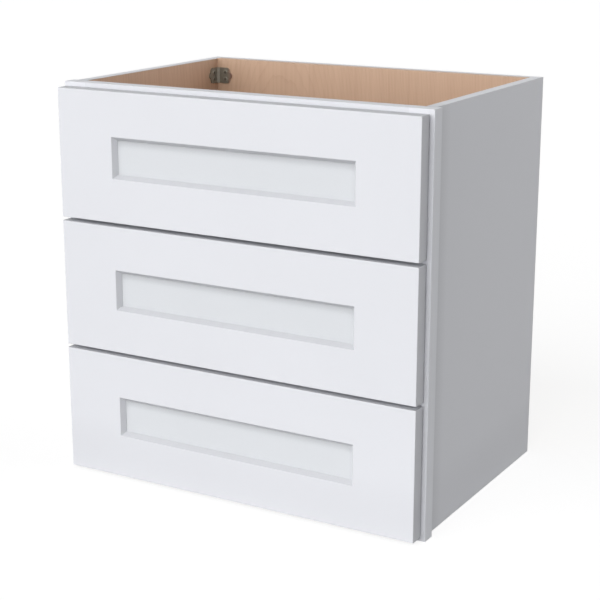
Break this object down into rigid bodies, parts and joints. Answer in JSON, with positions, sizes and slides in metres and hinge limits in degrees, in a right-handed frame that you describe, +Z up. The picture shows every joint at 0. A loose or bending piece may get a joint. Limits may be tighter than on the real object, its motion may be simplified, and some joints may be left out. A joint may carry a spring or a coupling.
{
  "type": "vanity drawer base cabinet",
  "caption": "White framed vanity base cabinet with an open top and full-overlay frame-and-panel drawers on ball-bearing slides.",
  "frame": {"origin": "middle of the footprint, at the level of the bottom edges", "axes": "+Z up, drawer fronts face -Y, back face towards +Y, +X to the right of someone facing the fronts"},
  "size_m": [0.6096, 0.4318, 0.6096],
  "materials": {
    "white_paint": "satin white paint on solid wood",
    "side_board": "plywood, satin white outside and clear-coated maple veneer inside",
    "veneered_board": "plywood with clear-coated maple veneer",
    "solid_maple": "clear-coated solid maple",
    "bracket_steel": "dark olive-grey plated steel",
    "screw_steel": "zinc-plated",
    "slide_steel": "zinc-plated, cold-rolled",
    "ball_steel": "bright steel balls in a rolled strip",
    "clear_rubber": "clear soft rubber"
  },
  "bodies": {
    "cabinet": {"side_panel_left": "side_board", "side_panel_right": "side_board", "back_panel": "veneered_board", "hanging_rail": "veneered_board", "bottom_panel": "veneered_board", "slide_posts": "solid_maple", "frame_stile_left": "white_paint", "frame_stile_right": "white_paint", "frame_bottom_rail": "white_paint", "frame_lower_mid_rail": "white_paint", "frame_upper_mid_rail": "white_paint", "frame_top_rail": "white_paint", "corner_bracket_left": "bracket_steel", "corner_bracket_right": "bracket_steel", "cabinet_screws": "screw_steel", "lower_slide_cabinet_members": "slide_steel", "middle_slide_cabinet_members": "slide_steel", "upper_slide_cabinet_members": "slide_steel"},
    "lower_drawer": {"lower_drawer_front_stiles": "white_paint", "lower_drawer_front_rails": "white_paint", "lower_drawer_front_panel": "white_paint", "lower_drawer_bumpers": "clear_rubber", "lower_drawer_box_front": "solid_maple", "lower_drawer_box_back": "solid_maple", "lower_drawer_box_side_left": "solid_maple", "lower_drawer_box_side_right": "solid_maple", "lower_drawer_box_bottom": "veneered_board", "lower_drawer_screws": "screw_steel", "lower_slide_drawer_members": "slide_steel"},
    "lower_middle_members": {"lower_slide_middle_members": "slide_steel"},
    "lower_outer_cages": {"lower_slide_outer_ball_cages": "ball_steel"},
    "lower_inner_cages": {"lower_slide_inner_ball_cages": "ball_steel"},
    "middle_drawer": {"middle_drawer_front_stiles": "white_paint", "middle_drawer_front_rails": "white_paint", "middle_drawer_front_panel": "white_paint", "middle_drawer_bumpers": "clear_rubber", "middle_drawer_box_front": "solid_maple", "middle_drawer_box_back": "solid_maple", "middle_drawer_box_side_left": "solid_maple", "middle_drawer_box_side_right": "solid_maple", "middle_drawer_box_bottom": "veneered_board", "middle_drawer_screws": "screw_steel", "middle_slide_drawer_members": "slide_steel"},
    "middle_middle_members": {"middle_slide_middle_members": "slide_steel"},
    "middle_outer_cages": {"middle_slide_outer_ball_cages": "ball_steel"},
    "middle_inner_cages": {"middle_slide_inner_ball_cages": "ball_steel"},
    "upper_drawer": {"upper_drawer_front_stiles": "white_paint", "upper_drawer_front_rails": "white_paint", "upper_drawer_front_panel": "white_paint", "upper_drawer_bumpers": "clear_rubber", "upper_drawer_box_front": "solid_maple", "upper_drawer_box_back": "solid_maple", "upper_drawer_box_side_left": "solid_maple", "upper_drawer_box_side_right": "solid_maple", "upper_drawer_box_bottom": "veneered_board", "upper_drawer_screws": "screw_steel", "upper_slide_drawer_members": "slide_steel"},
    "upper_middle_members": {"upper_slide_middle_members": "slide_steel"},
    "upper_outer_cages": {"upper_slide_outer_ball_cages": "ball_steel"},
    "upper_inner_cages": {"upper_slide_inner_ball_cages": "ball_steel"}
  },
  "joints": [
    {"name": "lower_drawer_slide", "type": "slide", "parent": "cabinet", "child": "lower_drawer", "axis": [0, -1, 0], "range_m": [0, 0.35]},
    {"name": "lower_middle_members_slide", "type": "slide", "parent": "cabinet", "child": "lower_middle_members", "axis": [0, -1, 0], "range_m": [0, 0.1755]},
    {"name": "lower_outer_cages_slide", "type": "slide", "parent": "cabinet", "child": "lower_outer_cages", "axis": [0, -1, 0], "range_m": [0, 0.088]},
    {"name": "lower_inner_cages_slide", "type": "slide", "parent": "cabinet", "child": "lower_inner_cages", "axis": [0, -1, 0], "range_m": [0, 0.263]},
    {"name": "middle_drawer_slide", "type": "slide", "parent": "cabinet", "child": "middle_drawer", "axis": [0, -1, 0], "range_m": [0, 0.35]},
    {"name": "middle_middle_members_slide", "type": "slide", "parent": "cabinet", "child": "middle_middle_members", "axis": [0, -1, 0], "range_m": [0, 0.1755]},
    {"name": "middle_outer_cages_slide", "type": "slide", "parent": "cabinet", "child": "middle_outer_cages", "axis": [0, -1, 0], "range_m": [0, 0.088]},
    {"name": "middle_inner_cages_slide", "type": "slide", "parent": "cabinet", "child": "middle_inner_cages", "axis": [0, -1, 0], "range_m": [0, 0.263]},
    {"name": "upper_drawer_slide", "type": "slide", "parent": "cabinet", "child": "upper_drawer", "axis": [0, -1, 0], "range_m": [0, 0.35]},
    {"name": "upper_middle_members_slide", "type": "slide", "parent": "cabinet", "child": "upper_middle_members", "axis": [0, -1, 0], "range_m": [0, 0.1755]},
    {"name": "upper_outer_cages_slide", "type": "slide", "parent": "cabinet", "child": "upper_outer_cages", "axis": [0, -1, 0], "range_m": [0, 0.088]},
    {"name": "upper_inner_cages_slide", "type": "slide", "parent": "cabinet", "child": "upper_inner_cages", "axis": [0, -1, 0], "range_m": [0, 0.263]}
  ],
  "couplings": [
    {"joint": "lower_middle_members_slide", "follows": "lower_drawer_slide", "ratio": 0.5},
    {"joint": "lower_outer_cages_slide", "follows": "lower_drawer_slide", "ratio": 0.25},
    {"joint": "lower_inner_cages_slide", "follows": "lower_drawer_slide", "ratio": 0.75},
    {"joint": "middle_middle_members_slide", "follows": "middle_drawer_slide", "ratio": 0.5},
    {"joint": "middle_outer_cages_slide", "follows": "middle_drawer_slide", "ratio": 0.25},
    {"joint": "middle_inner_cages_slide", "follows": "middle_drawer_slide", "ratio": 0.75},
    {"joint": "upper_middle_members_slide", "follows": "upper_drawer_slide", "ratio": 0.5},
    {"joint": "upper_outer_cages_slide", "follows": "upper_drawer_slide", "ratio": 0.25},
    {"joint": "upper_inner_cages_slide", "follows": "upper_drawer_slide", "ratio": 0.75}
  ]
}
